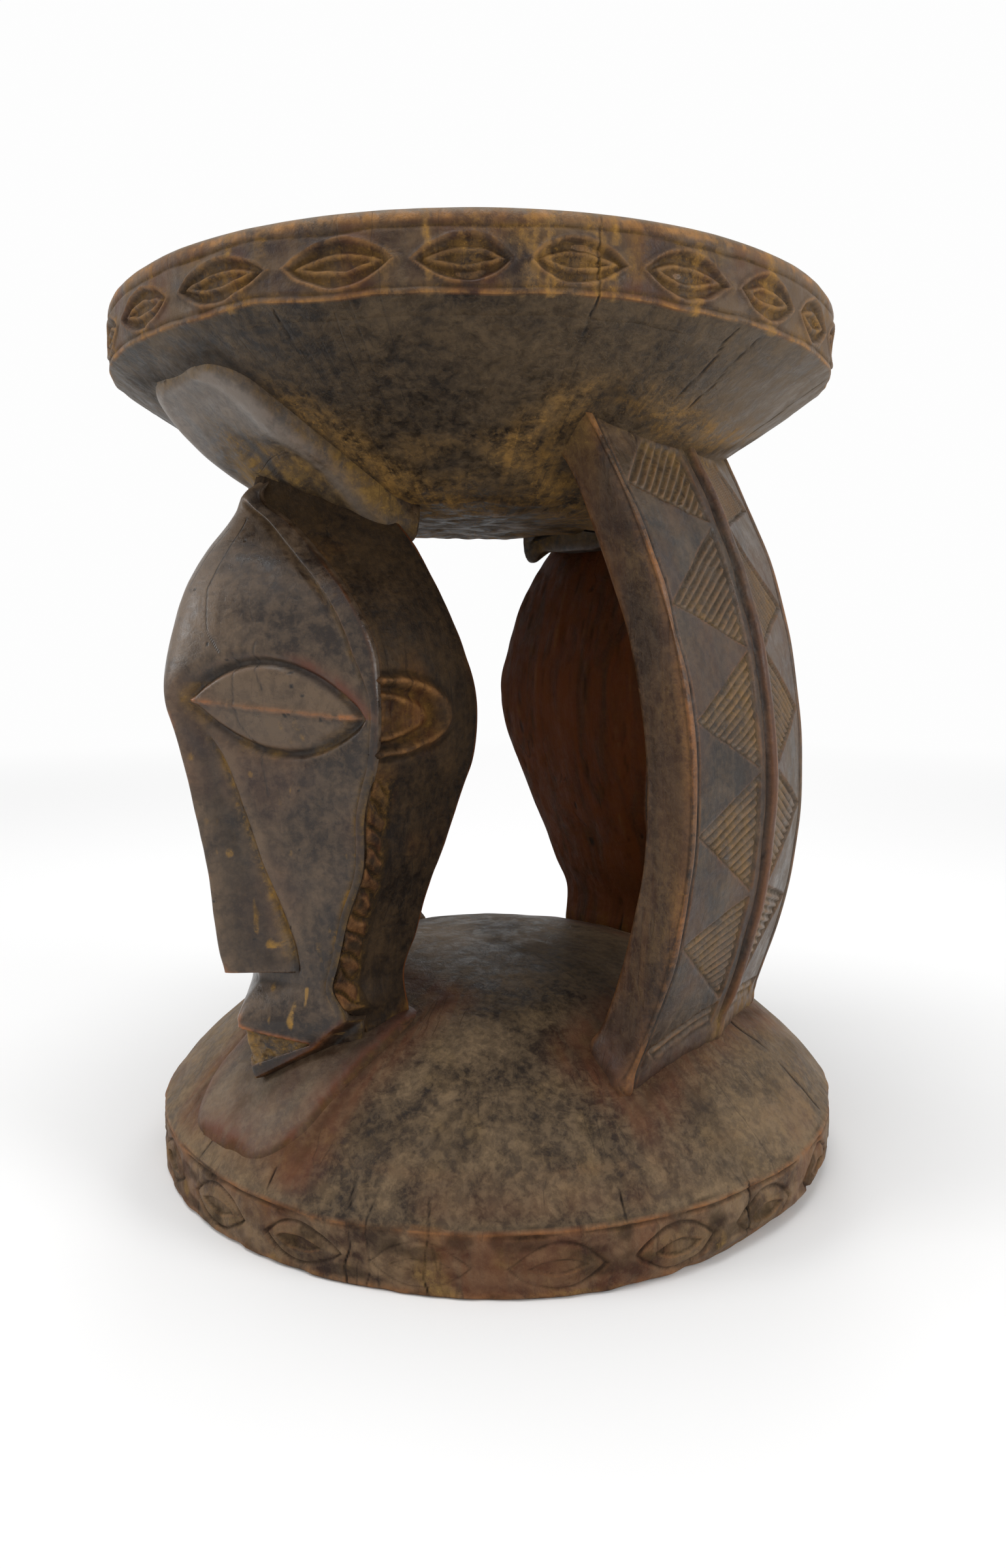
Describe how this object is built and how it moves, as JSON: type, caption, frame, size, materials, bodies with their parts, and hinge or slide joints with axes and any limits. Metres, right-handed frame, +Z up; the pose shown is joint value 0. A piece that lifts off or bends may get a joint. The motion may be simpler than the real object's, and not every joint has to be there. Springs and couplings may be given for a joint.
{
  "type": "carved wooden stool",
  "caption": "Round carved wooden stool: dished seat with a coned underside, domed foot, and long mask-like heads and bowed ribbed panels between them, with almond carvings round both rims.",
  "frame": {"origin": "on the floor, in the middle of the stool's bounding box", "axes": "+Z up; the front head's mask looks along -Y; the right panel lies towards +X, turned 16 degrees towards +Y"},
  "size_m": [0.3686, 0.37, 0.42],
  "materials": {
    "seat": "old dark patina, semi-gloss",
    "base": "old dark patina, mottled, semi-gloss",
    "head": "old dark patina, worn smooth",
    "teeth": "rough, with golden dust",
    "nose": "worn smooth, reddish edges",
    "eye": "worn smooth",
    "ear": "worn reddish rim",
    "cheek_braid": "worn reddish notches",
    "crest": "dark patina with a dull sheen",
    "pad": "dark patina, reddish step",
    "panel": "old dark patina, hatched, semi-gloss",
    "panel_rib": "worn orange-brown ridge"
  },
  "bodies": {
    "root": {"seat": "seat", "base": "base", "front_head": "head", "front_teeth": "teeth", "front_nose": "nose", "front_left_eye": "eye", "front_right_eye": "eye", "front_left_ear": "ear", "front_right_ear": "ear", "front_left_cheek_braid": "cheek_braid", "front_right_cheek_braid": "cheek_braid", "front_crest": "crest", "front_pad": "pad", "rear_head": "head", "rear_teeth": "teeth", "rear_nose": "nose", "rear_left_eye": "eye", "rear_right_eye": "eye", "rear_left_ear": "ear", "rear_right_ear": "ear", "rear_left_cheek_braid": "cheek_braid", "rear_right_cheek_braid": "cheek_braid", "rear_crest": "crest", "rear_pad": "pad", "right_panel": "panel", "right_panel_rib": "panel_rib", "left_panel": "panel", "left_panel_rib": "panel_rib"}
  },
  "joints": []
}
